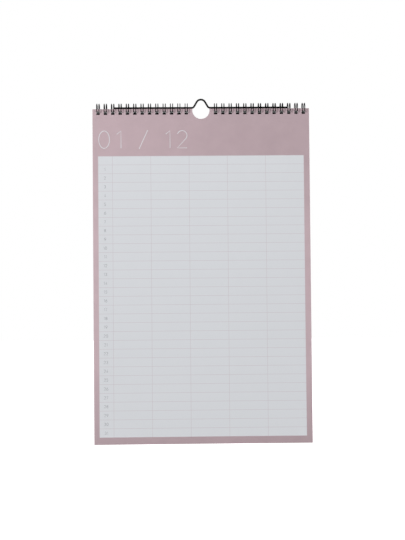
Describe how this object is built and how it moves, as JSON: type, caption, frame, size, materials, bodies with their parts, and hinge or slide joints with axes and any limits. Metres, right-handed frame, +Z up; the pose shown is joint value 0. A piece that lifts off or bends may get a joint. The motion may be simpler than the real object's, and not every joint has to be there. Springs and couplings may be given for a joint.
{
  "type": "wall calendar",
  "caption": "Portrait wall calendar: month sheets on a twin-loop wire binding with a wire hanger and a half-round thumb notch, to hang from a nail.",
  "frame": {"origin": "the hang point: the underside of the hanger's hump, where the nail bears, in the middle of the calendar's width", "axes": "+Z up, X across the sheets, the printed front faces -Y and the wall lies towards +Y"},
  "size_m": [0.25, 0.0104, 0.3968],
  "materials": {
    "printed_paper": "uncoated paper printed dusty pink with a pale ruled field",
    "board_card": "black-dyed board, uncoated",
    "binding_wire": "black nylon-coated wire, satin",
    "hanger_wire": "black lacquered wire, satin"
  },
  "bodies": {
    "hanger": {"hanger": "hanger_wire"},
    "binding": {"binding_wire_left": "binding_wire", "binding_wire_right": "binding_wire"},
    "board": {"back_board": "board_card"},
    "sheets": {"month_sheets": "printed_paper"}
  },
  "joints": [
    {"name": "binding_swing", "type": "hinge", "parent": "hanger", "child": "binding", "pos_m": [0, 0, -0.00845], "axis": [-1, 0, 0], "range_deg": [-170, 170]},
    {"name": "board_swing", "type": "hinge", "parent": "binding", "child": "board", "pos_m": [0, 0, -0.00845], "axis": [-1, 0, 0], "range_deg": [-10, 30]},
    {"name": "sheets_turn", "type": "hinge", "parent": "board", "child": "sheets", "pos_m": [0, 0, -0.00845], "axis": [-1, 0, 0], "range_deg": [0, 255]}
  ]
}
